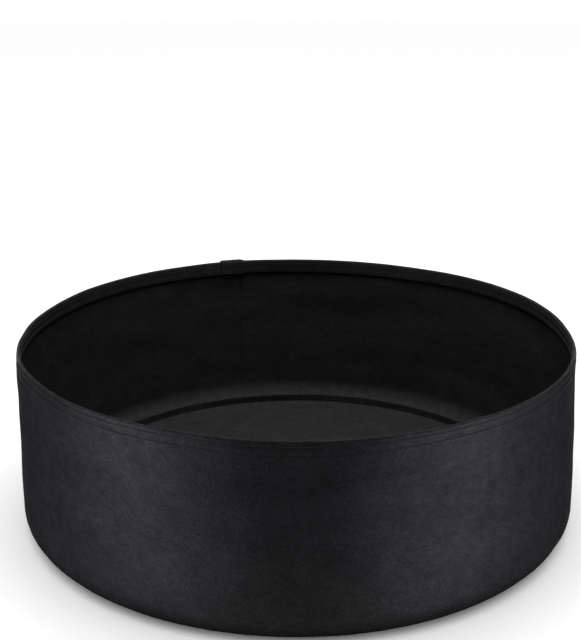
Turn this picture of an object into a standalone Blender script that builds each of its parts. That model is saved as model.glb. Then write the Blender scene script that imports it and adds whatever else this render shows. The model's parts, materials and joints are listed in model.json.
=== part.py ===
"""Round fabric grow bag of needle-punched felt, 0.90 m across and 0.30 m high.

The bag is sewn from two cut pieces of black felt:
  wall_panel   one long strip. Its ends lap at one upright seam, its top edge is turned
               to the inside as a hem, and its bottom edge is turned up inside the bag.
  base_panel   one disc. Its edge is turned up inside, next to the wall's edge.
Each row of lockstitch is two threads: a needle thread on the side that it was sewn from
and a bobbin thread on the other side.

Frame: the origin is the centre of the base on the ground, +Z is up, and the lapped seam
is at the back, towards +Y. Metres.
"""

import math

import bmesh
import bpy
from mathutils import Vector

# Felt and thread
FELT = 0.0025  # thickness of the felt
TOUCH = 0.0003  # gap between pieces that touch
LAYER = FELT + TOUCH  # what one more layer of felt adds
THREAD_RADIUS = 0.0006

# Wall, measured on its outer face
HEIGHT = 0.300
RIM_RADIUS = 0.450
WIDE_RADIUS = 0.459  # the filled bag is widest just above the ground
CORNER_RADIUS = 0.035  # round between the wall and the ground
LEAN_POWER = 1.15  # 1 is a straight lean from the widest level to the rim
WALL_LEVELS = 3  # facets between the hem and the corner

# Hem along the rim
HEM_DEPTH = 0.025
HEM_FOLD_GAP = 0.001  # the fold isn't pressed quite flat
HEM_ROWS = (0.008, 0.019)  # depth of each row of stitches under the rim

# Seam between the wall and the base
SEAM_RADIUS = 0.4165
TURN_RADIUS = 0.0045  # inner radius where each edge turns up
ALLOWANCE_TOP = 0.019  # height of the cut edges above the ground
BASE_ROWS = (0.0100, 0.0150)  # height of each row of stitches

# Lapped seam of the wall, in degrees round the bag
STEP = 5
LAP_START = 105
LAP = STEP
RAMP = 1.5  # the layer on top steps up and down over this
LAP_ROWS = (0.3, 0.7)  # place of each row of stitches across the lap

FELT_BLACK = (0.0095, 0.0092, 0.0100)
THREAD_BLACK = (0.0130, 0.0130, 0.0140)


def empty_scene():
    for obj in list(bpy.data.objects):
        bpy.data.objects.remove(obj, do_unlink=True)


def material(name, colour, roughness):
    """A plain Principled material."""
    made = bpy.data.materials.new(name)
    made.use_nodes = True
    shader = made.node_tree.nodes["Principled BSDF"]
    shader.inputs["Base Color"].default_value = (*colour, 1.0)
    shader.inputs["Roughness"].default_value = roughness
    shader.inputs["Metallic"].default_value = 0.0
    return made


def smoothstep(value):
    value = min(max(value, 0.0), 1.0)
    return value * value * (3.0 - 2.0 * value)


class SectionPoint:
    """A point on the middle of the felt in the wall's upright section.

    The normal is the side that faces out on the finished wall. The rise is 1 where the
    lap's second layer lies on top of the first, and 0 where the ground keeps it from
    doing so and the first layer is pushed inwards instead.
    """

    def __init__(self, radius, height, normal, rise):
        self.place = Vector((radius, height))
        self.normal = Vector(normal).normalized()
        self.rise = rise

    def shifted(self, distance):
        return self.place + self.normal * distance


def wall_radius(height):
    """Radius of the middle of the felt between the corner and the rim."""
    climb = (height - CORNER_RADIUS) / (HEIGHT - CORNER_RADIUS)
    lean = max(climb, 0.0) ** LEAN_POWER
    return WIDE_RADIUS - (WIDE_RADIUS - RIM_RADIUS) * lean - FELT / 2


def wall_point(height):
    """The wall's point at a height, with the normal from the lean there."""
    reach = 0.002
    slope = (wall_radius(height + reach) - wall_radius(height)) / reach
    return SectionPoint(wall_radius(height), height, (1.0, -slope), 1.0)


def arc(centre, radius, first, last, facets, rise):
    """Points along a round in the section, from one angle to another in degrees."""
    points = []
    for step in range(facets + 1):
        share = step / facets
        angle = math.radians(first + (last - first) * share)
        ray = (math.cos(angle), math.sin(angle))
        place = (centre[0] + radius * ray[0], centre[1] + radius * ray[1])
        points.append(SectionPoint(*place, ray, rise(share)))
    return points


def hem_section():
    """From the cut edge of the hem, up its flap and over the fold to the outer face."""
    fold_radius = (FELT + HEM_FOLD_GAP) / 2
    fold_height = HEIGHT - fold_radius - FELT / 2
    cut_height = HEIGHT - HEM_DEPTH
    inset = 2 * fold_radius
    flap = SectionPoint(wall_radius(cut_height) - inset, cut_height, (-1.0, 0.0), 1.0)
    centre = (wall_radius(fold_height) - fold_radius, fold_height)
    return [flap] + arc(centre, fold_radius, 180, 0, 4, lambda share: 1.0)


def wall_section():
    """Down the leaning wall, between the hem's fold and the corner."""
    top = HEIGHT - HEM_DEPTH
    drop = (top - CORNER_RADIUS) / WALL_LEVELS
    return [wall_point(top - drop * level) for level in range(WALL_LEVELS)]


def corner_section():
    """Round the corner on to the ground, then up inside as the seam allowance."""
    middle = CORNER_RADIUS - FELT / 2
    corner = arc(
        (WIDE_RADIUS - CORNER_RADIUS, CORNER_RADIUS), middle, 0, -90, 5,
        lambda share: 1.0 - smoothstep(share),
    )
    turn = TURN_RADIUS + FELT / 2
    centre = (SEAM_RADIUS + TOUCH / 2 + FELT + TURN_RADIUS, FELT + TURN_RADIUS)
    turned = arc(centre, turn, -90, -180, 3, lambda share: 0.0)
    edge = SectionPoint(turned[-1].place.x, ALLOWANCE_TOP, (-1.0, 0.0), 0.0)
    return corner + turned + [edge]


def strip_angles():
    """Angles along the strip in degrees, from its inner end to its outer end."""
    steps = range(0, 360 + LAP + 1, STEP)
    return sorted(list(steps) + [LAP + RAMP, 360 - RAMP])


def lap_shift(along, rise):
    """How far a point of the strip is moved along its normal to make room in the lap."""
    under = 1.0 if along <= LAP else 0.0
    over = 1.0 if along >= 360 else 0.0
    return LAYER * (over * rise - under * (1.0 - rise))


def around(place, along):
    """A section point turned to its place along the strip."""
    angle = math.radians(LAP_START + along)
    return Vector((place.x * math.cos(angle), place.x * math.sin(angle), place.y))


def make_wall_panel(collection, felt):
    """The strip as one open sheet, bent to shape, with Solidify for the felt."""
    section = hem_section() + wall_section() + corner_section()
    angles = strip_angles()
    mesh = bpy.data.meshes.new("wall_panel")
    sheet = bmesh.new()
    bmesh.ops.create_grid(sheet, x_segments=len(angles) - 1, y_segments=len(section) - 1, size=0.5)
    for vert in sheet.verts:
        along = angles[round((vert.co.x + 0.5) * (len(angles) - 1))]
        point = section[round((0.5 - vert.co.y) * (len(section) - 1))]
        vert.co = around(point.shifted(lap_shift(along, point.rise)), along)
    sheet.to_mesh(mesh)
    sheet.free()
    wall = bpy.data.objects.new("wall_panel", mesh)
    collection.objects.link(wall)
    mesh.materials.append(felt)
    solidify = wall.modifiers.new("felt", "SOLIDIFY")
    solidify.thickness = FELT
    solidify.offset = 0.0
    solidify.use_even_offset = True
    mesh.shade_smooth()
    mesh.set_sharp_from_angle(angle=math.radians(40))


def base_profile():
    """Half of the base panel's section, from the axis below to the axis above."""
    face = SEAM_RADIUS - TOUCH / 2
    centre = (face - FELT - TURN_RADIUS, FELT + TURN_RADIUS)
    below = arc(centre, TURN_RADIUS + FELT, -90, 0, 3, lambda share: 0.0)
    above = arc(centre, TURN_RADIUS, 0, -90, 3, lambda share: 0.0)
    edge = [Vector((face, ALLOWANCE_TOP)), Vector((face - FELT, ALLOWANCE_TOP))]
    outline = [Vector((0.0, 0.0))] + [point.place for point in below] + edge
    return outline + [point.place for point in above] + [Vector((0.0, FELT))]


def make_base_panel(collection, felt):
    """The disc, turned round the upright axis with Screw."""
    outline = base_profile()
    outline.reverse()
    mesh = bpy.data.meshes.new("base_panel")
    edges = [(index, index + 1) for index in range(len(outline) - 1)]
    mesh.from_pydata([(place.x, 0.0, place.y) for place in outline], edges, [])
    mesh.materials.append(felt)
    base = bpy.data.objects.new("base_panel", mesh)
    collection.objects.link(base)
    screw = base.modifiers.new("turn", "SCREW")
    screw.steps = 360 // STEP
    screw.render_steps = screw.steps
    screw.use_merge_vertices = True
    screw.merge_threshold = 0.00001
    screw.use_smooth_shade = False


def make_thread(collection, name, points, closed, colour):
    """A row of thread as a thin four-sided tube along its points."""
    curve = bpy.data.curves.new(name, "CURVE")
    curve.dimensions = "3D"
    curve.twist_mode = "Z_UP" if closed else "MINIMUM"
    curve.bevel_depth = THREAD_RADIUS
    curve.bevel_resolution = 0
    curve.use_fill_caps = True
    line = curve.splines.new("POLY")
    line.points.add(len(points) - 1)
    for knot, place in zip(line.points, points):
        knot.co = (*place, 1.0)
    line.use_cyclic_u = closed
    curve.materials.append(colour)
    collection.objects.link(bpy.data.objects.new(name, curve))


def ring_of_thread(point, crosses_lap=True):
    """Points of a row round the bag, on the side of the felt that the point's normal faces.

    Over the lap the row lies on one more layer and on the lap's own threads.
    """
    clear = FELT / 2 + TOUCH + THREAD_RADIUS
    hop = LAYER + 2 * THREAD_RADIUS + TOUCH if crosses_lap else 0.0
    places = []
    for along in strip_angles():
        if along >= 360:
            continue
        lift = hop if along <= LAP else 0.0
        places.append(around(point.shifted(clear + lift), along))
    return places


def flap_point(height):
    """The hem flap's point at a height, with the normal towards the inside of the bag."""
    cut = hem_section()[0]
    fold = hem_section()[1]
    share = (height - cut.place.y) / (fold.place.y - cut.place.y)
    place = cut.place.lerp(fold.place, share)
    return SectionPoint(place.x, place.y, (-1.0, 0.0), 1.0)


def make_hem_threads(collection, colour):
    """Rows that hold the hem: needle thread outside, bobbin thread on the flap inside."""
    for number, depth in enumerate(HEM_ROWS, start=1):
        height = HEIGHT - depth
        outside = ring_of_thread(wall_chord_point(height))
        inside = ring_of_thread(flap_point(height))
        make_thread(collection, f"hem_needle_thread_{number}", outside, True, colour)
        make_thread(collection, f"hem_bobbin_thread_{number}", inside, True, colour)


def wall_chord_point(height):
    """The point at a height on the straight facet between the fold and the wall below it."""
    fold = hem_section()[-1]
    below = wall_section()[0]
    share = (height - below.place.y) / (fold.place.y - below.place.y)
    place = below.place.lerp(fold.place, share)
    return SectionPoint(place.x, place.y, below.normal, 1.0)


def make_base_threads(collection, colour):
    """Rows through both turned-up edges of the base seam."""
    wall_edge = corner_section()[-1].place.x
    base_edge = SEAM_RADIUS - TOUCH / 2 - FELT / 2
    for number, height in enumerate(BASE_ROWS, start=1):
        wall_side = SectionPoint(wall_edge, height, (1.0, 0.0), 0.0)
        base_side = SectionPoint(base_edge, height, (-1.0, 0.0), 0.0)
        outside = ring_of_thread(wall_side)
        inside = ring_of_thread(base_side, crosses_lap=False)
        make_thread(collection, f"base_needle_thread_{number}", outside, True, colour)
        make_thread(collection, f"base_bobbin_thread_{number}", inside, True, colour)


def lap_row(section, share, side, layer):
    """Points of a row that runs up the lap, on the flat facet between the lap's edges."""
    clear = FELT / 2 + TOUCH + THREAD_RADIUS
    places = []
    for point in section:
        shift = layer(point.rise) + side * clear
        near = around(point.shifted(shift), 0)
        far = around(point.shifted(shift), LAP)
        places.append(near.lerp(far, share))
    return places


def make_lap_threads(collection, colour):
    """Rows up the lap: needle thread on the outer face, bobbin thread on the inner face."""
    corner = corner_section()[:4]
    outer_section = [wall_chord_point(HEIGHT - 0.005)] + wall_section() + corner
    inner_section = [wall_point(HEIGHT - HEM_DEPTH - 0.003)] + wall_section()[1:] + corner
    for number, share in enumerate(LAP_ROWS, start=1):
        outside = lap_row(outer_section, share, 1.0, lambda rise: LAYER * rise)
        inside = lap_row(inner_section, share, -1.0, lambda rise: LAYER * (rise - 1.0))
        make_thread(collection, f"lap_needle_thread_{number}", outside, False, colour)
        make_thread(collection, f"lap_bobbin_thread_{number}", inside, False, colour)


def main():
    empty_scene()
    bag = bpy.data.collections.new("fabric_grow_bag")
    bpy.context.scene.collection.children.link(bag)
    make_wall_panel(bag, material("wall_felt", FELT_BLACK, 0.95))
    make_base_panel(bag, material("base_felt", FELT_BLACK, 0.95))
    make_hem_threads(bag, material("hem_thread", THREAD_BLACK, 0.55))
    make_base_threads(bag, material("base_thread", THREAD_BLACK, 0.55))
    make_lap_threads(bag, material("lap_thread", THREAD_BLACK, 0.55))


main()
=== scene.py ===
"""Looks of the round felt grow bag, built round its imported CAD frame.

The wall is one strip of needle-punched felt and the base is one disc of it. Both are lofted from
sections whose sizes come from the frame, at the thickness of the felt, and the unevenness of soft
felt is moved into the mesh. Each row of thread is made of its separate stitches. Lengths are in
metres and angles in degrees, counted round the bag from its right side towards its back.
"""

import json
import math

import bpy
import numpy as np
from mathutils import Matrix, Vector, noise

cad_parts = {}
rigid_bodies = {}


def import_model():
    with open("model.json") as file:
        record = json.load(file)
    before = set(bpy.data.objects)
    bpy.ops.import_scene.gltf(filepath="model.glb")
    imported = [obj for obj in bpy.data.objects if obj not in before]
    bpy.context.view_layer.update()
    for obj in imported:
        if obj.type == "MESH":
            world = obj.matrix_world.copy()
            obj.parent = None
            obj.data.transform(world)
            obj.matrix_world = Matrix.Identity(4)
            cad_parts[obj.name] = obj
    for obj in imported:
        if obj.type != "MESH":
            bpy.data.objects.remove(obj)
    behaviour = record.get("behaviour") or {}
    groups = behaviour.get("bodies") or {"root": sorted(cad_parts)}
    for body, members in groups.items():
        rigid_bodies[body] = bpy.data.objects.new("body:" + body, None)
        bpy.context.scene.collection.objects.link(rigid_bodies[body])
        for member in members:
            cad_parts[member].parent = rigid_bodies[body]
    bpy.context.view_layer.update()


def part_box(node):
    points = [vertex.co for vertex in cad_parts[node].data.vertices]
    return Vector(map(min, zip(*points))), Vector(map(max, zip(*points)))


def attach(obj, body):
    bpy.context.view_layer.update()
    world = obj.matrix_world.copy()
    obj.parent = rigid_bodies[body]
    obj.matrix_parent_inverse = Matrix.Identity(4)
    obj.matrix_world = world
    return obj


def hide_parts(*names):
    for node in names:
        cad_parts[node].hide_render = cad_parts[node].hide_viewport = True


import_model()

# Felt, thread and the lapped seam, as they were cut and sewn
FELT = 0.0025
TOUCH = 0.0003
LAYER = FELT + TOUCH
THREAD_ENVELOPE = 0.0006
HEM_DEPTH = 0.025
HEM_FOLD_GAP = 0.001
CORNER_RADIUS = 0.035
TURN_RADIUS = 0.0045
LEAN_POWER = 1.15
LAP_START = 105.0
LAP = 5.0
RAMP = 1.5
LAP_ROWS = (0.3, 0.7)
LAP_ROW_BELOW_RIM = 0.006
LAP_ROW_BELOW_HEM = 0.004
LAP_ROW_ROUND_CORNER = 0.6


def middle(node):
    """The middle of a CAD node's box."""
    low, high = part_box(node)
    return (low + high) / 2


# Sizes that the frame gives
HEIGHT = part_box("wall_panel")[1].z - LAYER
WIDE_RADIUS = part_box("wall_panel")[1].x
RIM_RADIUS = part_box("hem_needle_thread_1")[1].x - 2 * THREAD_ENVELOPE - TOUCH
SEAM_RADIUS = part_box("base_panel")[1].x + TOUCH / 2
ALLOWANCE_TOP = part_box("base_panel")[1].z
HEM_ROW_HEIGHTS = [middle(f"hem_needle_thread_{number}").z for number in (1, 2)]
BASE_ROW_HEIGHTS = [middle(f"base_needle_thread_{number}").z for number in (1, 2)]

# Stitches: half the thread's thickness, how far apart the needle's holes are, and how the rows
# press the felt
THREAD = 0.00045
STITCH = 0.0050
THREAD_SIDES = 6
ROW_GROOVE_DEPTH = 0.00022
ROW_GROOVE_WIDTH = 0.0018

# One half of a stitch from its hole to its middle: the place along it as a share of its length,
# and the height of the thread's middle over the felt, in thread radii
STITCH_SHAPE = [(-0.5, -2.2), (-0.44, -0.9), (-0.34, 0.45), (-0.18, 0.8), (0.0, 0.85)]

# Fineness of the meshes: columns round the bag, and rows and facets down each stretch of felt
WALL_COLUMNS = 420
RAMP_COLUMNS = 4
LAP_COLUMNS = 7
BASE_COLUMNS = 300
HEM_ROWS = 16
FOLD_FACETS = 8
WALL_ROWS = 44
CORNER_FACETS = 14
TURN_FACETS = 6
ALLOWANCE_ROWS = 8
BASE_ROWS = 56
BASE_CENTRE = 0.004

# How much the felt's thickness varies and over what length, and how far a cut edge is rounded
THICKNESS_SPREAD = 0.06
THICKNESS_PATCH = 0.03
THICKNESS_SEEDS = {"felt_wall": 12, "felt_base": 13}
LIP = 0.12 * FELT

# Felt stands upright where the level part of its normal is over this
UPRIGHT_FROM = 0.9

# Angles from which an edge of a mesh is shaded sharp
FELT_SHARP_FROM = 55
THREAD_SHARP_FROM = 75

# Marks left by folding the bag flat for shipping: angle round the bag and height of the middle,
# half of the length round and up, which way it runs, and how far it stands out (or in)
CREASES = [
    (-46.0, 0.246, 0.045, 0.0, 0.0006),
    (-60.0, 0.166, 0.030, 4.0, -0.0006),
    (-128.0, 0.120, 0.040, -24.0, 0.0005),
    (-112.0, 0.205, 0.035, 12.0, -0.0005),
    (-75.0, 0.075, 0.045, 8.0, 0.0006),
    (-141.0, 0.230, 0.030, -8.0, 0.0005),
    (9.0, 0.165, 0.120, 88.0, 0.0009),
    (171.0, 0.165, 0.120, 93.0, 0.0009),
    (57.0, 0.170, 0.115, 91.0, -0.0008),
    (31.0, 0.110, 0.055, 15.0, 0.0007),
    (205.0, 0.190, 0.060, -12.0, 0.0007),
    (128.0, 0.085, 0.050, 20.0, -0.0007),
]
CREASE_WIDTH = 0.0038
CREASE_SWAY = 0.0016
CREASE_SWAYS_PER_METRE = 90.0
CREASE_FULL_SHARE = 0.35

# How far the place where noise is read moves from one seed to the next
SEED_STEPS = (13.7, 7.1, 3.3)

# How soft felt strays from the sewn shape: how far, over about what length, and the noise's seed
WALL_BULGES = [(0.0030, 0.26, 1), (0.0012, 0.10, 2), (0.0004, 0.035, 14)]
WALL_WAVES = [(0.0013, 0.14, 16)]
WAVES_FLATTER = 3.0
RIM_WANDER = [(0.0030, 0.30, 3), (0.0012, 0.11, 4)]
RIM_DIP = [(0.0022, 0.34, 6), (0.0009, 0.12, 7)]
SEAM_PUCKERS = [(0.0006, 0.024, 5), (0.0005, 0.060, 15)]
EDGE_LEAN = [(0.0018, 0.09, 8), (0.0008, 0.03, 9)]
BASE_HUMPS = [(0.0022, 0.11, 10), (0.0008, 0.04, 11)]
BASE_LIFT = 0.0010

# Where each of those sets in: the height or depth where it starts, and over what length it grows
ABOVE_GROUND = (0.012, 0.07)
NEAR_RIM = (0.16, 0.13)
ABOVE_SEAM = (0.004, 0.02)
PAST_SEAM = (0.03, 0.07)
EDGE_REACH = 0.012
INSIDE_SEAM = (0.02, 0.06)

# Felt: colour, roughness, and gloss at its strongest and by how far the surface is turned away
FELT_BLACK = (0.0021, 0.00205, 0.0022)
FELT_ROUGHNESS = 0.53
FELT_GLOSS = 0.0465
GLOSS_TURNED_AWAY = [
    (0.05, 0.42),
    (0.09, 0.60),
    (0.16, 1.00),
    (0.25, 0.92),
    (0.35, 0.66),
    (0.48, 0.33),
    (0.69, 0.08),
    (0.90, 0.02),
]

# Felt: size of its uneven patches, how much lighter and darker they are, and their relief, and
# then how long and how turned they lie, the noise's usual range, and how much they vary the gloss
CLOUDS = (0.042, 0.11, 0.00054)
CLUMPS = (0.011, 0.14, 0.00040)
GRAIN = (0.0034, 0.28, 0.00018)
CLUMP_STRETCH = 1.5
PATCH_TURN = 17.0
PATCH_RANGE = (0.31, 0.69)
ROUGHNESS_SPREAD = 0.08

# Felt: fibres of this thickness, this many times as long, that cross at these angles, each lot
# read from its own place, with their shades and relief, and then the needles' dimples
FIBRE = 0.0007
FIBRE_STRETCH = 14.0
FIBRE_TURNS = (-68, -31, -8, 19, 44, 77)
FIBRE_OFFSET = 0.31
FIBRE_RANGE = (0.52, 0.80)
FIBRE_SHADES = (0.85, 1.7)
FIBRE_RELIEF = 0.00008
DIMPLES_PER_METRE = 420.0
DIMPLE_EDGE = 0.35
DIMPLE_RELIEF = 0.00007

# Where the inner face's fibres start, so that they differ from the outer face's
SIDE_OFFSET = 0.7

# Felt: painted light and dust low on the wall: painted lighter there, with a painted sheen in its
# gloss, and a dusty tint that takes the blue out of its gloss
DUST_AND_PAINTED_LIGHT_HEIGHT = 0.20
PAINTED_SHEEN_LOW_ON_WALL = 1.45
DUST_AND_PAINTED_LIGHT_SHADE = 1.15
DUST_AND_PAINTED_LIGHT_TINT = (1.0, 1.0, 0.93)

# Thread
THREAD_BLACK = (0.0022, 0.0040)
THREAD_ROUGHNESS = (0.66, 0.52)
THREAD_GLOSS = 0.08
THREAD_TWIST = 240.0
THREAD_UNEVEN = 0.6
THREAD_RELIEF = 0.00012

# Camera, from the outline of the bag in the view
CAMERA_PLACE = (0.0, -1.778, 0.892)
CAMERA_TILT = 17.9
CAMERA_LENS = 63.8
CAMERA_SHIFT = (-0.0107, -0.0019)

# Studio: angle of each softbox from the front and its power
SOFTBOXES = [(-63.0, 50.0), (63.0, 50.0), (-152.0, 60.0), (152.0, 60.0)]
SOFTBOX_COLOUR = (1.0, 0.96, 1.14)
SOFTBOX_AWAY = 1.8
SOFTBOX_SIZE = (1.3, 0.34)

# Studio: a panel that lies on each side, the light over the bag, the floor's own light
PANEL_PLACE = (0.62, -0.50, 0.003)
PANEL_TURN = 22.0
PANEL_SIZE = (0.85, 0.32)
PANEL_POWER = 3.5
INSIDE_PLACE = (0.0, 0.0, 1.7)
INSIDE_SIZE = (0.8, 0.8)
INSIDE_POWER = 230.0
FLOOR_LIGHT_PLACE = (0.0, 0.3, 3.4)
FLOOR_LIGHT_SIZE = (5.0, 5.0)
FLOOR_LIGHT_POWER = 75.0
WHITE = (1.0, 1.0, 1.0)
SURROUND = 1.0
FLOOR_PALE = 0.98
FLOOR_ROUGHNESS = 0.9
FLOOR_GLOSS = 0.1
FLOOR_RADIUS = 14.0
FLOOR_SIDES = 96
FLOOR_DROP = 0.0002


# ---------------------------------------------------------------- sections of the felt


class Section:
    """The middle line of the felt in an upright plane: radius, height, outward normal and rise.

    Rise is 1 where the lap's top layer lies outside the bottom one, and 0 near the ground, where
    the bottom layer is pushed into the bag instead.
    """

    def __init__(self):
        self.rows = []

    def add(self, radius, height, normal, rise):
        size = math.hypot(*normal)
        self.rows.append((radius, height, normal[0] / size, normal[1] / size, rise))

    def add_arc(self, centre, radius, angles, facets, rises):
        """Points after the first of a round from one angle to another, and from rise to rise."""
        for step in range(1, facets + 1):
            share = step / facets
            angle = math.radians(angles[0] + (angles[1] - angles[0]) * share)
            ray = (math.cos(angle), math.sin(angle))
            rise = rises[0] + (rises[1] - rises[0]) * smoothstep(share)
            self.add(centre[0] + radius * ray[0], centre[1] + radius * ray[1], ray, rise)

    def finish(self):
        """Keeps the rows as arrays, with the length down the felt to each of them."""
        rows = np.array(self.rows)
        steps = np.hypot(np.diff(rows[:, 0]), np.diff(rows[:, 1]))
        self.places = rows[:, :2]
        self.normals = rows[:, 2:4]
        self.rises = rows[:, 4]
        self.lengths = np.concatenate([[0.0], np.cumsum(steps)])
        return self

    def length_at(self, height, facing, rise):
        """The length down to a height, on the part that faces out (1) or in (-1)."""
        part = (np.sign(np.round(self.normals[:, 0], 3)) == facing) & (self.rises == rise)
        order = np.argsort(self.places[part, 1])
        return float(np.interp(height, self.places[part, 1][order], self.lengths[part][order]))


def smoothstep(value):
    """A smooth climb from 0 at 0 to 1 at 1, level outside."""
    value = np.clip(value, 0.0, 1.0)
    return value * value * (3.0 - 2.0 * value)


def growing(value, start, reach):
    """0 up to a start, and 1 from a reach past it."""
    return smoothstep((value - start) / reach)


def wall_radius(height):
    """Radius of the middle of the felt between the corner and the rim."""
    climb = max((height - CORNER_RADIUS) / (HEIGHT - CORNER_RADIUS), 0.0)
    return WIDE_RADIUS - (WIDE_RADIUS - RIM_RADIUS) * climb**LEAN_POWER - FELT / 2


def wall_slope(height):
    """How fast that radius grows with height."""
    reach = 0.002
    return (wall_radius(height + reach) - wall_radius(height)) / reach


def wall_section():
    """From the hem's cut edge over the fold, down the wall, round the corner and up inside."""
    fold_radius = (FELT + HEM_FOLD_GAP) / 2
    fold_height = HEIGHT - fold_radius - FELT / 2
    cut_height = HEIGHT - HEM_DEPTH
    section = Section()
    for height in np.linspace(cut_height, fold_height, HEM_ROWS):
        section.add(wall_radius(height) - 2 * fold_radius, height, (-1.0, wall_slope(height)), 1.0)
    fold_centre = (wall_radius(fold_height) - fold_radius, fold_height)
    section.add_arc(fold_centre, fold_radius, (180, 0), FOLD_FACETS, (1.0, 1.0))
    hem_heights = np.linspace(fold_height, cut_height, HEM_ROWS)[1:]
    free_heights = np.linspace(cut_height, CORNER_RADIUS, WALL_ROWS)[1:]
    for height in [*hem_heights, *free_heights]:
        section.add(wall_radius(height), height, (1.0, -wall_slope(height)), 1.0)
    corner_centre = (WIDE_RADIUS - CORNER_RADIUS, CORNER_RADIUS)
    corner = CORNER_RADIUS - FELT / 2
    section.add_arc(corner_centre, corner, (0, -90), CORNER_FACETS, (1.0, 0.0))
    turn_centre = (SEAM_RADIUS + TOUCH / 2 + FELT + TURN_RADIUS, FELT + TURN_RADIUS)
    turn = TURN_RADIUS + FELT / 2
    section.add_arc(turn_centre, turn, (-90, -180), TURN_FACETS, (0.0, 0.0))
    for height in np.linspace(turn_centre[1], ALLOWANCE_TOP, ALLOWANCE_ROWS)[1:]:
        section.add(turn_centre[0] - turn, height, (-1.0, 0.0), 0.0)
    return section.finish()


def base_section():
    """From near the axis out along the ground and up at the seam."""
    face = SEAM_RADIUS - TOUCH / 2 - FELT / 2
    turn = TURN_RADIUS + FELT / 2
    turn_centre = (face - turn, FELT + TURN_RADIUS)
    section = Section()
    for radius in np.linspace(BASE_CENTRE, turn_centre[0], BASE_ROWS):
        section.add(radius, FELT / 2, (0.0, -1.0), 0.0)
    section.add_arc(turn_centre, turn, (-90, 0), TURN_FACETS, (0.0, 0.0))
    for height in np.linspace(turn_centre[1], ALLOWANCE_TOP, ALLOWANCE_ROWS)[1:]:
        section.add(face, height, (1.0, 0.0), 0.0)
    return section.finish()


# ---------------------------------------------------------------- unevenness of soft felt


def field(points, parts):
    """Smooth noise at points, as the sum of parts of a given depth, length and seed."""
    places = [Vector(point) for point in points.reshape(-1, 3)]
    total = np.zeros(len(places))
    for depth, length, seed in parts:
        offset = Vector([seed * step for step in SEED_STEPS])
        total += depth * np.array([noise.noise(place / length + offset) for place in places])
    return total.reshape(points.shape[:-1])


def creases(angle, height):
    """How far the fold marks move the wall outwards at angles round the bag and heights."""
    moved = np.zeros(np.broadcast(angle, height).shape)
    for middle_angle, middle_height, half_length, turn, depth in CREASES:
        round_it = np.radians((angle - middle_angle + 180.0) % 360.0 - 180.0) * WIDE_RADIUS
        up = height - middle_height
        run = math.radians(turn)
        along = round_it * math.cos(run) + up * math.sin(run)
        off = up * math.cos(run) - round_it * math.sin(run)
        off = off + CREASE_SWAY * np.sin(along * CREASE_SWAYS_PER_METRE)
        past = np.abs(along) / half_length - CREASE_FULL_SHARE
        fade = 1.0 - smoothstep(past / (1.0 - CREASE_FULL_SHARE))
        moved += depth * fade * np.exp(-((off / CREASE_WIDTH) ** 2))
    return moved


def soften(points):
    """Moves points of the sewn shape the way that soft felt strays from it.

    The wall bulges a little unevenly, the rim's line wanders, the base seam draws the felt above
    it into small puckers, its edges lean, and the base lifts in low humps. Nothing moves below
    the ground.
    """
    radius = np.hypot(points[..., 0], points[..., 1])
    height = points[..., 2]
    ray = np.stack([points[..., 0] / radius, points[..., 1] / radius, 0.0 * radius], axis=-1)
    around = ray * WIDE_RADIUS
    upright = around + np.stack([0.0 * radius, 0.0 * radius, height], axis=-1)
    wall = radius > SEAM_RADIUS + FELT + TURN_RADIUS

    above = growing(height, *ABOVE_GROUND)
    near_rim = growing(height, *NEAR_RIM)
    near_seam = growing(height, *ABOVE_SEAM) * (1.0 - growing(height, *PAST_SEAM))
    marks = creases(np.degrees(np.arctan2(points[..., 1], points[..., 0])), height)
    waves = field(upright * (1.0, 1.0, WAVES_FLATTER), WALL_WAVES)
    shift = above * (field(upright, WALL_BULGES) + waves + marks)
    shift += near_rim * field(around, RIM_WANDER) + near_seam * field(around, SEAM_PUCKERS)
    dip = near_rim * field(around, RIM_DIP)

    lean = growing(height, FELT + TURN_RADIUS, EDGE_REACH) * field(around, EDGE_LEAN)
    inside = growing(SEAM_RADIUS - radius, *INSIDE_SEAM)
    hump = inside * (BASE_LIFT + field(points, BASE_HUMPS))

    moved = points + ray * np.where(wall, shift, lean)[..., None]
    moved[..., 2] += np.where(wall, dip, np.maximum(hump, 0.0))
    return moved


# ---------------------------------------------------------------- a sheet of felt


def unit(vectors):
    """The vectors at length 1."""
    return vectors / np.linalg.norm(vectors, axis=-1, keepdims=True)


def normals_of(grid):
    """Unit normals of a grid of points, from its differences along both ways."""
    return unit(np.cross(np.gradient(grid, axis=1), np.gradient(grid, axis=0)))


def between(grid, column, row):
    """Bilinear values of a grid at fractional columns and rows."""
    column = np.clip(column, 0, grid.shape[0] - 1.001)
    row = np.clip(row, 0, grid.shape[1] - 1.001)
    first, top = column.astype(int), row.astype(int)
    share, part = (column - first)[..., None], (row - top)[..., None]
    near = grid[first, top] * (1 - part) + grid[first, top + 1] * part
    far = grid[first + 1, top] * (1 - part) + grid[first + 1, top + 1] * part
    return near * (1 - share) + far * share


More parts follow.
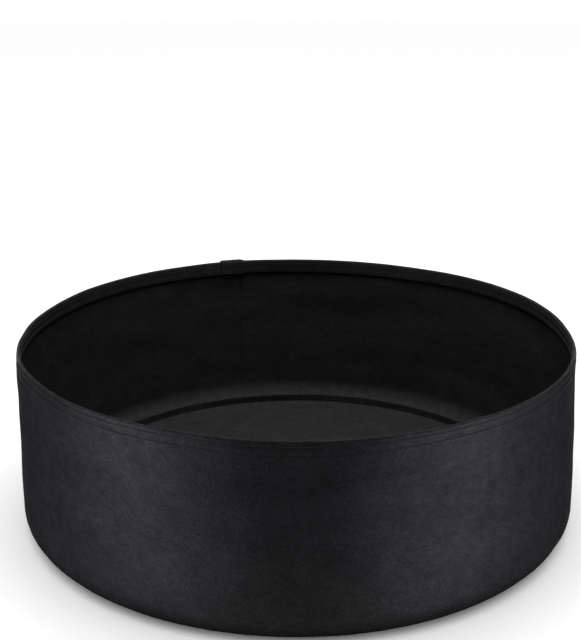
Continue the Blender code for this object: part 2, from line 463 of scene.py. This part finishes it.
class Felt:
    """A sheet of felt on a grid of columns round the bag and rows down its section.

    Its angles are along the strip, from where the strip starts.
    """

    def __init__(self, angles, start, section, shift, pressed_heights, seed):
        rays = np.radians(angles + start)[:, None]
        moved = shift(angles, section.rises)[..., None]
        place = section.places[None] + section.normals[None] * moved
        upright = [place[..., 0] * np.cos(rays), place[..., 0] * np.sin(rays), place[..., 1]]
        self.angles = angles
        self.section = section
        self.lengths = section.lengths
        self.middle = soften(np.stack(upright, axis=-1))
        self.normals = normals_of(self.middle)
        self.half = self.half_thickness(rays, pressed_heights, seed)

    def half_thickness(self, rays, pressed_heights, seed):
        """Half the thickness: a little uneven, and pressed thinner along the rows of stitches."""
        flat = self.lengths[None] + 0.0 * rays
        ring = [np.cos(rays) * WIDE_RADIUS + 0.0 * flat, np.sin(rays) * WIDE_RADIUS + 0.0 * flat]
        spots = np.stack([*ring, flat], axis=-1)
        uneven = 1.0 + field(spots, [(THICKNESS_SPREAD, THICKNESS_PATCH, seed)])
        upright = np.abs(self.section.normals[:, 0]) > UPRIGHT_FROM
        pressed = np.zeros(len(self.lengths))
        for height in pressed_heights:
            pressed += np.exp(-(((self.section.places[:, 1] - height) / ROW_GROOVE_WIDTH) ** 2))
        return FELT / 2 * uneven - ROW_GROOVE_DEPTH * (pressed * upright)[None]

    def face(self, side):
        """Points of the outer face (1) or the inner face (-1)."""
        return self.middle + self.normals * (side * self.half)[..., None]

    def at(self, angles, lengths, side):
        """Points of one face and their normals, at angles along the strip and lengths down it."""
        column = np.interp(angles, self.angles, np.arange(len(self.angles)))
        row = np.interp(lengths, self.lengths, np.arange(len(self.lengths)))
        normals = unit(between(self.normals, column, row))
        return between(self.face(side), column, row), side * normals

    def lip(self, row, inner_row):
        """Points just past a cut edge, so that the edge is slightly rounded."""
        out = unit(self.middle[:, row] - self.middle[:, inner_row])
        return (self.middle[:, row] + LIP * out)[:, None]


def lap_shift(angles, rises):
    """How far the strip's middle moves along its normal to make room for itself in the lap."""
    under = 1.0 - smoothstep((angles - LAP) / RAMP)
    over = smoothstep((angles - (360.0 - RAMP)) / RAMP)
    return LAYER * (over[:, None] * rises[None] - under[:, None] * (1.0 - rises[None]))


def no_shift(angles, rises):
    """The disc has no lap and stays where it is."""
    return np.zeros((len(angles), len(rises)))


# ---------------------------------------------------------------- meshes


def make_piece(name, points, faces, uvs, smooth_angle):
    """An object with this mesh, shaded smooth, with UVs in metres given by vertex."""
    mesh = bpy.data.meshes.new(name)
    mesh.from_pydata(points, [], faces)
    corners = np.zeros(len(mesh.loops), np.int32)
    mesh.loops.foreach_get("vertex_index", corners)
    layer = mesh.uv_layers.new(name="lie_of_the_fibres")
    layer.data.foreach_set("uv", uvs[corners].astype(np.float32).reshape(-1))
    mesh.shade_smooth()
    mesh.set_sharp_from_angle(angle=math.radians(smooth_angle))
    piece = bpy.data.objects.new(name, mesh)
    bpy.context.scene.collection.objects.link(piece)
    return piece


def finish_piece(piece, material, node):
    """Puts a piece in place of its CAD node, on the bag's one body."""
    piece.data.materials.append(material)
    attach(piece, "root")
    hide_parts(node)


def quads(columns, places, closed_round, closed_loop):
    """Corners of the faces between neighbouring columns of a loft, facing out."""
    column = np.arange(columns if closed_round else columns - 1)[:, None]
    place = np.arange(places if closed_loop else places - 1)[None]
    after = (column + 1) % columns * places
    column = column * places
    following = (place + 1) % places
    corners = [column + following, after + following, after + place, column + place]
    return np.stack(np.broadcast_arrays(*corners), axis=-1).reshape(-1, 4).tolist()


def strip_mesh(name, felt):
    """The closed mesh of a strip: both faces and all its cut edges."""
    loop = [felt.face(1), felt.lip(-1, -2), felt.face(-1)[:, ::-1], felt.lip(0, 1)]
    loop = np.concatenate(loop, axis=1)
    columns, size = loop.shape[:2]
    rows = len(felt.lengths)
    faces = quads(columns, size, False, True)
    cells = [(row, row + 1, size - 3 - row, size - 2 - row) for row in range(rows - 1)]
    cells += [(rows - 1, rows, rows + 1), (size - 2, size - 1, 0)]
    end = (columns - 1) * size
    faces += [list(cell) for cell in cells]
    faces += [[end + corner for corner in reversed(cell)] for cell in cells]
    down = [felt.lengths, felt.lengths[-1:], felt.lengths[::-1] + SIDE_OFFSET, [0.0]]
    across = np.radians(felt.angles) * WIDE_RADIUS
    uvs = np.broadcast_arrays(across[:, None], np.concatenate(down)[None])
    uvs = np.stack(uvs, axis=-1).reshape(-1, 2)
    return make_piece(name, loop.reshape(-1, 3), faces, uvs, FELT_SHARP_FROM)


def disc_mesh(name, felt):
    """The closed mesh of a disc whose columns run from near the axis to its cut edge."""
    loop = np.concatenate([felt.face(1), felt.lip(-1, -2), felt.face(-1)[:, ::-1]], axis=1)[:-1]
    columns, size = loop.shape[:2]
    faces = quads(columns, size, True, False)
    faces.append([column * size for column in range(columns)])
    faces.append([column * size + size - 1 for column in reversed(range(columns))])
    points = loop.reshape(-1, 3)
    below = np.tile(np.arange(size) > size // 2, columns)[:, None]
    return make_piece(name, points, faces, points[:, :2] + below * SIDE_OFFSET, FELT_SHARP_FROM)


def make_wall(material):
    """The wall strip, lapped at the back, with its hem and its seam allowance."""
    stretches = [
        np.linspace(0.0, LAP, LAP_COLUMNS)[:-1],
        np.linspace(LAP, LAP + RAMP, RAMP_COLUMNS)[:-1],
        np.linspace(LAP + RAMP, 360.0 - RAMP, WALL_COLUMNS),
        np.linspace(360.0 - RAMP, 360.0, RAMP_COLUMNS)[1:],
        np.linspace(360.0, 360.0 + LAP, LAP_COLUMNS)[1:],
    ]
    pressed = [*HEM_ROW_HEIGHTS, *BASE_ROW_HEIGHTS]
    seed = THICKNESS_SEEDS["felt_wall"]
    felt = Felt(np.concatenate(stretches), LAP_START, wall_section(), lap_shift, pressed, seed)
    piece = strip_mesh("felt_wall", felt)
    finish_piece(piece, material, "wall_panel")
    return felt


def make_base(material):
    """The base disc with its turned-up edge."""
    angles = np.linspace(0.0, 360.0, BASE_COLUMNS + 1)
    seed = THICKNESS_SEEDS["felt_base"]
    felt = Felt(angles, 0.0, base_section(), no_shift, BASE_ROW_HEIGHTS, seed)
    piece = disc_mesh("felt_base", felt)
    finish_piece(piece, material, "base_panel")
    return felt


# ---------------------------------------------------------------- stitches


def stitch_profile():
    """Places along one stitch, as shares of its length, and heights over the felt in metres."""
    half = STITCH_SHAPE + [(-share, height) for share, height in reversed(STITCH_SHAPE[:-1])]
    shares, heights = np.array(half).T
    return shares, heights * THREAD


def tube_faces(steps):
    """Faces of one capped tube with this many rings of corners."""
    faces = quads(steps, THREAD_SIDES, False, True)
    faces.append(list(range(THREAD_SIDES)))
    last = (steps - 1) * THREAD_SIDES
    faces.append([last + corner for corner in reversed(range(THREAD_SIDES))])
    return faces


def make_stitches(row, thread, points, normals):
    """One piece of short tubes of thread, each along its own row of points on the felt.

    A row of stitches is named by its seam, by needle or bobbin, and by its number.
    """
    heights = stitch_profile()[1]
    lifted = points + normals * heights[None, :, None]
    along = unit(np.gradient(lifted, axis=1))
    up = unit(normals - along * np.sum(normals * along, axis=-1, keepdims=True))
    across = np.cross(along, up)
    turn = np.arange(THREAD_SIDES) * 2 * math.pi / THREAD_SIDES
    ring = up[:, :, None] * np.cos(turn)[:, None] + across[:, :, None] * np.sin(turn)[:, None]
    tubes = lifted[:, :, None] + THREAD * ring
    count, steps = tubes.shape[:2]
    size = steps * THREAD_SIDES
    one = tube_faces(steps)
    starts = range(0, count * size, size)
    faces = [[start + corner for corner in face] for start in starts for face in one]
    lengthwise = np.linspace(0, STITCH, steps)[None, :, None] + np.zeros((count, 1, THREAD_SIDES))
    uvs = np.stack([lengthwise, 0.0 * lengthwise + turn * THREAD], axis=-1)
    seam, kind, number = row
    name = f"{seam}_{kind}_stitches_{number}"
    piece = make_piece(name, tubes.reshape(-1, 3), faces, uvs.reshape(-1, 2), THREAD_SHARP_FROM)
    finish_piece(piece, thread, f"{seam}_{kind}_thread_{number}")


def ring_of_stitches(row, thread, felt, length, side, first, last):
    """A row of stitches round the bag, from one angle along the strip to another."""
    count = round(math.radians(last - first) * WIDE_RADIUS / STITCH)
    shares = stitch_profile()[0]
    angles = first + (last - first) / count * (np.arange(count)[:, None] + 0.5 + shares[None])
    make_stitches(row, thread, *felt.at(angles, np.full(angles.shape, length), side))


def column_of_stitches(row, thread, felt, angle, top, bottom, side):
    """A row of stitches down the lap, between two lengths down the section."""
    count = round((bottom - top) / STITCH)
    shares = stitch_profile()[0]
    lengths = top + (bottom - top) / count * (np.arange(count)[:, None] + 0.5 + shares[None])
    make_stitches(row, thread, *felt.at(np.full(lengths.shape, angle), lengths, side))


def sew_hem(wall, thread):
    """Both hem rows: needle stitches outside, bobbin stitches on the flap inside."""
    for number, height in enumerate(HEM_ROW_HEIGHTS, start=1):
        outside = wall.section.length_at(height, facing=1, rise=1.0)
        inside = wall.section.length_at(height, facing=-1, rise=1.0)
        for kind, length in (("needle", outside), ("bobbin", inside)):
            row = ("hem", kind, number)
            ring_of_stitches(row, thread, wall, length, 1, LAP, 360.0 + LAP)


def sew_base(wall, base, thread):
    """Both base rows: needle stitches on the wall's edge, bobbin stitches on the base's."""
    for number, height in enumerate(BASE_ROW_HEIGHTS, start=1):
        on_wall = wall.section.length_at(height, facing=-1, rise=0.0)
        on_base = base.section.length_at(height, facing=1, rise=0.0)
        ring_of_stitches(("base", "needle", number), thread, wall, on_wall, -1, 0.0, 360.0)
        ring_of_stitches(("base", "bobbin", number), thread, base, on_base, 1, 0.0, 360.0)


def sew_lap(wall, thread):
    """Both lap rows: needle stitches on the outer face, bobbin stitches on the inner face."""
    top = wall.section.length_at(HEIGHT - LAP_ROW_BELOW_RIM, facing=1, rise=1.0)
    hem_foot = HEIGHT - HEM_DEPTH
    under_hem = wall.section.length_at(hem_foot - LAP_ROW_BELOW_HEM, facing=1, rise=1.0)
    corner = wall.section.length_at(CORNER_RADIUS, facing=1, rise=1.0)
    bottom = corner + LAP_ROW_ROUND_CORNER * CORNER_RADIUS
    for number, share in enumerate(LAP_ROWS, start=1):
        outside, inside = ("lap", "needle", number), ("lap", "bobbin", number)
        column_of_stitches(outside, thread, wall, 360.0 + LAP * share, top, bottom, 1)
        column_of_stitches(inside, thread, wall, LAP * share, under_hem, bottom, -1)


# ---------------------------------------------------------------- materials


class Nodes:
    """Short ways to make and join a material's nodes."""

    def __init__(self, name):
        self.material = bpy.data.materials.new(name)
        self.material.use_nodes = True
        self.tree = self.material.node_tree
        self.shader = self.tree.nodes["Principled BSDF"]
        places = self.make("ShaderNodeTexCoord")
        self.uv = places.outputs["UV"]
        self.height = self.texture("ShaderNodeSeparateXYZ", places.outputs["Object"], {}).outputs["Z"]

    def make(self, kind, **settings):
        """A new node of a kind, with these settings."""
        made = self.tree.nodes.new(kind)
        for name, value in settings.items():
            setattr(made, name, value)
        return made

    def give(self, target, value):
        """Joins an output to an input, or sets the input to a number."""
        if isinstance(value, bpy.types.NodeSocket):
            self.tree.links.new(value, target)
        else:
            target.default_value = value

    def texture(self, kind, vector, values, **settings):
        """A new node that takes a vector and these values."""
        made = self.make(kind, **settings)
        for name, value in {"Vector": vector, **values}.items():
            self.give(made.inputs[name], value)
        return made

    def noise(self, vector, size, detail=2.0, roughness=0.5):
        """Noise with features of about this size in metres."""
        values = {"Scale": 1.0 / size, "Detail": detail, "Roughness": roughness}
        return self.texture("ShaderNodeTexNoise", vector, values).outputs["Fac"]

    def turned(self, vector, degrees, stretch, offset):
        """The vector in axes that are turned in its plane, with the first of them stretched."""
        values = {
            "Rotation": (0.0, 0.0, math.radians(degrees)),
            "Scale": (stretch, 1.0, 1.0),
            "Location": (offset, offset, 0.0),
        }
        mapping = self.texture("ShaderNodeMapping", vector, values, vector_type="TEXTURE")
        return mapping.outputs["Vector"]

    def ramp(self, value, low, high, start, end, ease="LINEAR"):
        """A value stretched from one range to another, and held at its ends."""
        made = self.make("ShaderNodeMapRange", interpolation_type=ease)
        names = ("Value", "From Min", "From Max", "To Min", "To Max")
        for name, given in zip(names, (value, low, high, start, end)):
            self.give(made.inputs[name], given)
        return made.outputs["Result"]

    def curve(self, value, stops):
        """A value read off a smooth curve through stops of place and level."""
        made = self.make("ShaderNodeValToRGB")
        made.color_ramp.interpolation = "CARDINAL"
        ends = made.color_ramp.elements
        ends[0].position, ends[1].position = stops[0][0], stops[-1][0]
        between_ends = [ends.new(place) for place, _ in stops[1:-1]]
        for stop, (_, level) in zip([ends[0], *between_ends, ends[len(stops) - 1]], stops):
            stop.color = (level, level, level, 1.0)
        self.give(made.inputs["Fac"], value)
        return made.outputs["Color"]

    def math(self, operation, first, second):
        """The result of one operation on two values."""
        made = self.make("ShaderNodeMath", operation=operation)
        self.give(made.inputs[0], first)
        self.give(made.inputs[1], second)
        return made.outputs[0]

    def product(self, *factors):
        """All the factors multiplied."""
        result = factors[0]
        for factor in factors[1:]:
            result = self.math("MULTIPLY", result, factor)
        return result

    def grey(self, value):
        """A grey as light as the value."""
        made = self.make("ShaderNodeCombineColor")
        for channel in ("Red", "Green", "Blue"):
            self.give(made.inputs[channel], value)
        return made.outputs["Color"]

    def mixed(self, share, first, second, blend="MIX"):
        """The first colour, mixed with a share of the second."""
        made = self.make("ShaderNodeMix", data_type="RGBA", blend_type=blend)
        colours = [socket for socket in made.inputs if socket.type == "RGBA"]
        for target, value in zip((made.inputs["Factor"], *colours), (share, first, second)):
            self.give(target, value)
        return next(socket for socket in made.outputs if socket.type == "RGBA")

    def bump(self, height, depth, onto=None):
        """Relief of this depth in metres for a height from 0 to 1, on top of other relief."""
        made = self.make("ShaderNodeBump")
        made.inputs["Strength"].default_value = 1.0
        made.inputs["Distance"].default_value = depth
        self.give(made.inputs["Height"], height)
        if onto is not None:
            self.give(made.inputs["Normal"], onto)
        return made.outputs["Normal"]


def matted_fibres(nodes):
    """Fine fibres that cross each other at several angles: 1 on a fibre, 0 between them."""
    fibres = 0.0
    for index, turn in enumerate(FIBRE_TURNS):
        lie = nodes.turned(nodes.uv, turn, FIBRE_STRETCH, FIBRE_OFFSET * index)
        fibre = nodes.ramp(nodes.noise(lie, FIBRE, detail=1.0), *FIBRE_RANGE, 0.0, 1.0)
        fibres = nodes.math("MAXIMUM", fibres, fibre)
    return fibres


def patches(nodes, kind, detail, roughness, stretch=1.0):
    """Uneven patches of a size: their height from 0 to 1, their shade about 1, their relief."""
    size, spread, relief = kind
    lie = nodes.turned(nodes.uv, PATCH_TURN, stretch, 0.0)
    height = nodes.noise(lie, size, detail, roughness)
    return height, nodes.ramp(height, *PATCH_RANGE, 1.0 - spread, 1.0 + spread), relief


def felt_material():
    """Black needle-punched felt: matted fibres, cloudy density, needle dimples, a soft gloss."""
    nodes = Nodes("needle_felt")
    fibres = matted_fibres(nodes)
    uneven = [
        patches(nodes, CLOUDS, detail=3.0, roughness=0.55),
        patches(nodes, CLUMPS, detail=3.0, roughness=0.62, stretch=CLUMP_STRETCH),
        patches(nodes, GRAIN, detail=2.0, roughness=0.6),
    ]
    density = nodes.product(*[shade for _, shade, _ in uneven])
    # Painted light: low on the wall the felt's colour is made lighter, standing in for light off the
    # floor, with some dust
    dust_and_painted_light = nodes.ramp(nodes.height, 0.0, DUST_AND_PAINTED_LIGHT_HEIGHT, 1.0, 0.0, "SMOOTHSTEP")

    painted_light_and_dust_factor = nodes.ramp(dust_and_painted_light, 0.0, 1.0, 1.0, DUST_AND_PAINTED_LIGHT_SHADE)
    shade = nodes.product(density, nodes.ramp(fibres, 0.0, 1.0, *FIBRE_SHADES), painted_light_and_dust_factor)
    colour = nodes.mixed(1.0, (*FELT_BLACK, 1.0), nodes.grey(shade), "MULTIPLY")
    nodes.give(nodes.shader.inputs["Base Color"], colour)
    clumps = uneven[1][0]
    most, least = (FELT_ROUGHNESS * (1.0 + sign * ROUGHNESS_SPREAD) for sign in (1, -1))
    rough = nodes.ramp(clumps, *PATCH_RANGE, most, least)
    nodes.give(nodes.shader.inputs["Roughness"], rough)

    weight = nodes.make("ShaderNodeLayerWeight")
    weight.inputs["Blend"].default_value = 0.5
    turned_away = nodes.curve(weight.outputs["Facing"], GLOSS_TURNED_AWAY)
    # Painted sheen: the gloss is made stronger low on the wall, and its tint there is a dusty one
    gloss = nodes.ramp(dust_and_painted_light, 0.0, 1.0, FELT_GLOSS, FELT_GLOSS * PAINTED_SHEEN_LOW_ON_WALL)
    nodes.give(nodes.shader.inputs["Specular IOR Level"], nodes.product(turned_away, density, gloss))
    tint = nodes.mixed(dust_and_painted_light, (*WHITE, 1.0), (*DUST_AND_PAINTED_LIGHT_TINT, 1.0))
    nodes.give(nodes.shader.inputs["Specular Tint"], tint)

    relief = None
    for height, _, depth in uneven:
        relief = nodes.bump(height, depth, relief)
    dimples = nodes.texture("ShaderNodeTexVoronoi", nodes.uv, {"Scale": DIMPLES_PER_METRE})
    punched = nodes.ramp(dimples.outputs["Distance"], 0.0, DIMPLE_EDGE, 0.0, 1.0)
    relief = nodes.bump(punched, DIMPLE_RELIEF, relief)
    nodes.give(nodes.shader.inputs["Normal"], nodes.bump(fibres, FIBRE_RELIEF, relief))
    return nodes.material


def thread_material():
    """Black bonded thread: plies twisted together, almost as matt as the felt."""
    nodes = Nodes("bonded_thread")
    values = {"Scale": THREAD_TWIST, "Distortion": THREAD_UNEVEN}
    twist = nodes.texture("ShaderNodeTexWave", nodes.uv, values, bands_direction="DIAGONAL")
    plies = twist.outputs["Fac"]
    black = nodes.grey(nodes.ramp(plies, 0.0, 1.0, *THREAD_BLACK))
    nodes.give(nodes.shader.inputs["Base Color"], black)
    rough = nodes.ramp(plies, 0.0, 1.0, *THREAD_ROUGHNESS)
    nodes.give(nodes.shader.inputs["Roughness"], rough)
    nodes.shader.inputs["Specular IOR Level"].default_value = THREAD_GLOSS
    nodes.give(nodes.shader.inputs["Normal"], nodes.bump(plies, THREAD_RELIEF))
    return nodes.material


# ---------------------------------------------------------------- studio


def add_camera():
    """The camera, in front of the bag and above it."""
    camera = bpy.data.cameras.new("camera")
    camera.lens = CAMERA_LENS
    camera.shift_x, camera.shift_y = CAMERA_SHIFT
    placed = bpy.data.objects.new("camera", camera)
    placed.location = CAMERA_PLACE
    placed.rotation_euler = (math.radians(90.0 - CAMERA_TILT), 0.0, 0.0)
    bpy.context.scene.collection.objects.link(placed)
    bpy.context.scene.camera = placed


def add_light(name, place, turns, size, power, colour, lit, glossy=True):
    """A rectangular light, turned by degrees from facing down, that lights one collection alone."""
    light = bpy.data.lights.new(name, "AREA")
    light.shape = "RECTANGLE"
    light.size, light.size_y = size
    light.energy = power
    light.color = colour
    placed = bpy.data.objects.new(name, light)
    placed.location = place
    placed.rotation_euler = [math.radians(turn) for turn in turns]
    placed.visible_camera = False
    placed.visible_glossy = glossy
    placed.light_linking.receiver_collection = lit
    bpy.context.scene.collection.objects.link(placed)


def light_groups():
    """Two collections, the bag's pieces and the floor, for lights on one of them alone."""
    bag = bpy.data.collections.new("lit_bag")
    ground = bpy.data.collections.new("lit_ground")
    for piece in bpy.context.scene.objects:
        if piece.type == "MESH":
            (ground if piece.name == "floor" else bag).objects.link(piece)
    return bag, ground


def add_lights():
    """Softboxes round the bag, panels beside it, a light over it and one for the floor."""
    bag, ground = light_groups()
    for number, (degrees, power) in enumerate(SOFTBOXES, start=1):
        angle = math.radians(degrees)
        out = (math.sin(angle), -math.cos(angle))
        place = (out[0] * SOFTBOX_AWAY, out[1] * SOFTBOX_AWAY, SOFTBOX_SIZE[1] / 2)
        turns = (90.0, 0.0, degrees)
        add_light(f"softbox_{number}", place, turns, SOFTBOX_SIZE, power, SOFTBOX_COLOUR, bag)
    for name, side in (("left_panel", -1), ("right_panel", 1)):
        place = (side * PANEL_PLACE[0], *PANEL_PLACE[1:])
        turns = (180.0, 0.0, side * PANEL_TURN)
        add_light(name, place, turns, PANEL_SIZE, PANEL_POWER, SOFTBOX_COLOUR, bag)
    down = (0.0, 0.0, 0.0)
    add_light("inside_light", INSIDE_PLACE, down, INSIDE_SIZE, INSIDE_POWER, WHITE, bag, glossy=False)
    place, size, power = FLOOR_LIGHT_PLACE, FLOOR_LIGHT_SIZE, FLOOR_LIGHT_POWER
    add_light("floor_light", place, down, size, power, WHITE, ground)


def add_surround():
    """An even white surround, shown with its shades as they are."""
    world = bpy.data.worlds.new("surround")
    world.use_nodes = True
    background = world.node_tree.nodes["Background"]
    background.inputs["Color"].default_value = (*WHITE, 1.0)
    background.inputs["Strength"].default_value = SURROUND
    bpy.context.scene.world = world
    bpy.context.scene.view_settings.view_transform = "Standard"


def add_floor():
    """A wide plain floor under the bag."""
    bpy.ops.mesh.primitive_circle_add(vertices=FLOOR_SIDES, radius=FLOOR_RADIUS, fill_type="NGON")
    floor = bpy.context.active_object
    floor.name = "floor"
    floor.location.z = -FLOOR_DROP
    nodes = Nodes("pale_floor")
    nodes.shader.inputs["Base Color"].default_value = (FLOOR_PALE, FLOOR_PALE, FLOOR_PALE, 1.0)
    nodes.shader.inputs["Roughness"].default_value = FLOOR_ROUGHNESS
    nodes.shader.inputs["Specular IOR Level"].default_value = FLOOR_GLOSS
    floor.data.materials.append(nodes.material)


# ---------------------------------------------------------------- the bag and its studio

add_camera()
thread_look = thread_material()
felt_look = felt_material()
add_floor()
wall_felt = make_wall(felt_look)
base_felt = make_base(felt_look)
sew_hem(wall_felt, thread_look)
sew_base(wall_felt, base_felt, thread_look)
sew_lap(wall_felt, thread_look)
add_lights()
add_surround()
